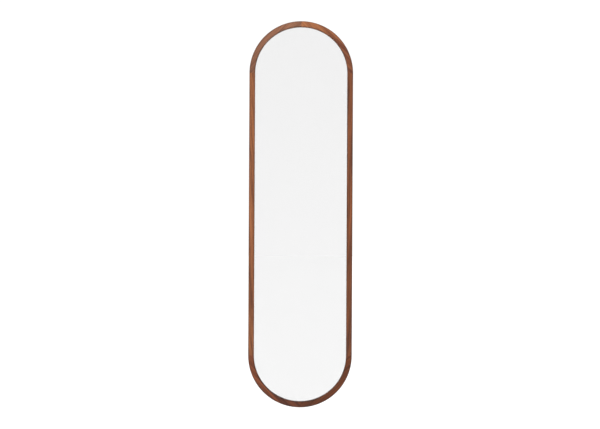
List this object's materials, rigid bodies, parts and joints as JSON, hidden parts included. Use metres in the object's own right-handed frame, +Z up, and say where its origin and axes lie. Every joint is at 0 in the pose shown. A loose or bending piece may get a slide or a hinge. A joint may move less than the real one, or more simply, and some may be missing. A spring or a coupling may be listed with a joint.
{
  "type": "full-length mirror",
  "caption": "Tall pill-shaped mirror in a slim rounded walnut frame, with a panelled back held by turn buttons and an interlocking cleat that hangs it on a wall.",
  "frame": {"origin": "on the wall plane, midway between the two outer wall screw holes of the wall cleat", "axes": "+X to the right as seen from the front, +Y from the glass towards the wall, +Z up"},
  "size_m": [0.457, 0.04, 1.702],
  "materials": {
    "walnut_light": "oiled walnut, warm mid brown, satin",
    "walnut_dark": "oiled walnut, darker red brown, satin",
    "beech": "plain sanded beech",
    "birch": "plain sanded birch, matte",
    "fibreboard": "medium density fibreboard, matte",
    "gasket_rubber": "thin dark rubber strip, matte",
    "clear_glass": "clear float glass, polished edge",
    "silver_coat": "silvered back of the glass under a safety film",
    "block_rubber": "firm neoprene",
    "foam": "closed-cell foam strip",
    "cleat_aluminium": "extruded aluminium, fine lengthwise lines",
    "zinc_steel": "bright zinc plated steel",
    "passivated_steel": "yellow passivated steel",
    "button_steel": "nickel plated pressed steel",
    "bumper_rubber": "soft black rubber"
  },
  "bodies": {
    "wall_cleat": {"wall_cleat": "cleat_aluminium"},
    "mirror": {"left_rail": "walnut_light", "right_rail": "walnut_dark", "top_left_arc": "walnut_light", "top_right_arc": "walnut_light", "bottom_left_arc": "walnut_dark", "bottom_right_arc": "walnut_dark", "loose_tenons": "beech", "lip_gasket": "gasket_rubber", "mirror_glass": "clear_glass", "silver_backing": "silver_coat", "setting_blocks": "block_rubber", "edge_spacers": "block_rubber", "foam_ring": "foam", "back_panel": "fibreboard", "upper_brace": "birch", "lower_brace": "birch", "brace_screws": "passivated_steel", "mirror_cleat": "cleat_aluminium", "mirror_cleat_screws": "zinc_steel", "wall_bumpers": "bumper_rubber", "turn_button_screws": "zinc_steel"},
    "left_turn_button_1": {"left_turn_button_1": "button_steel"},
    "left_turn_button_2": {"left_turn_button_2": "button_steel"},
    "left_turn_button_3": {"left_turn_button_3": "button_steel"},
    "left_turn_button_4": {"left_turn_button_4": "button_steel"},
    "right_turn_button_1": {"right_turn_button_1": "button_steel"},
    "right_turn_button_2": {"right_turn_button_2": "button_steel"},
    "right_turn_button_3": {"right_turn_button_3": "button_steel"},
    "right_turn_button_4": {"right_turn_button_4": "button_steel"},
    "top_left_turn_button": {"top_left_turn_button": "button_steel"},
    "top_right_turn_button": {"top_right_turn_button": "button_steel"},
    "bottom_left_turn_button": {"bottom_left_turn_button": "button_steel"},
    "bottom_right_turn_button": {"bottom_right_turn_button": "button_steel"}
  },
  "joints": [
    {"name": "lift_off", "type": "slide", "parent": "wall_cleat", "child": "mirror", "axis": [0, 0, 1], "range_m": [0, 0.012]},
    {"name": "left_turn_button_1_pivot", "type": "hinge", "parent": "mirror", "child": "left_turn_button_1", "pos_m": [-0.216, -0.0172, -0.071], "axis": [0, 1, 0], "range_deg": [-90, 90]},
    {"name": "left_turn_button_2_pivot", "type": "hinge", "parent": "mirror", "child": "left_turn_button_2", "pos_m": [-0.216, -0.0172, -0.371], "axis": [0, 1, 0], "range_deg": [-90, 90]},
    {"name": "left_turn_button_3_pivot", "type": "hinge", "parent": "mirror", "child": "left_turn_button_3", "pos_m": [-0.216, -0.0172, -0.671], "axis": [0, 1, 0], "range_deg": [-90, 90]},
    {"name": "left_turn_button_4_pivot", "type": "hinge", "parent": "mirror", "child": "left_turn_button_4", "pos_m": [-0.216, -0.0172, -0.971], "axis": [0, 1, 0], "range_deg": [-90, 90]},
    {"name": "right_turn_button_1_pivot", "type": "hinge", "parent": "mirror", "child": "right_turn_button_1", "pos_m": [0.216, -0.0172, -0.071], "axis": [0, 1, 0], "range_deg": [-90, 90]},
    {"name": "right_turn_button_2_pivot", "type": "hinge", "parent": "mirror", "child": "right_turn_button_2", "pos_m": [0.216, -0.0172, -0.371], "axis": [0, 1, 0], "range_deg": [-90, 90]},
    {"name": "right_turn_button_3_pivot", "type": "hinge", "parent": "mirror", "child": "right_turn_button_3", "pos_m": [0.216, -0.0172, -0.671], "axis": [0, 1, 0], "range_deg": [-90, 90]},
    {"name": "right_turn_button_4_pivot", "type": "hinge", "parent": "mirror", "child": "right_turn_button_4", "pos_m": [0.216, -0.0172, -0.971], "axis": [0, 1, 0], "range_deg": [-90, 90]},
    {"name": "top_left_turn_button_pivot", "type": "hinge", "parent": "mirror", "child": "top_left_turn_button", "pos_m": [-0.15274, -0.0172, 0.25423], "axis": [0, 1, 0], "range_deg": [-90, 90]},
    {"name": "top_right_turn_button_pivot", "type": "hinge", "parent": "mirror", "child": "top_right_turn_button", "pos_m": [0.15274, -0.0172, 0.25423], "axis": [0, 1, 0], "range_deg": [-90, 90]},
    {"name": "bottom_left_turn_button_pivot", "type": "hinge", "parent": "mirror", "child": "bottom_left_turn_button", "pos_m": [-0.15274, -0.0172, -1.29624], "axis": [0, 1, 0], "range_deg": [-90, 90]},
    {"name": "bottom_right_turn_button_pivot", "type": "hinge", "parent": "mirror", "child": "bottom_right_turn_button", "pos_m": [0.15274, -0.0172, -1.29624], "axis": [0, 1, 0], "range_deg": [-90, 90]}
  ]
}
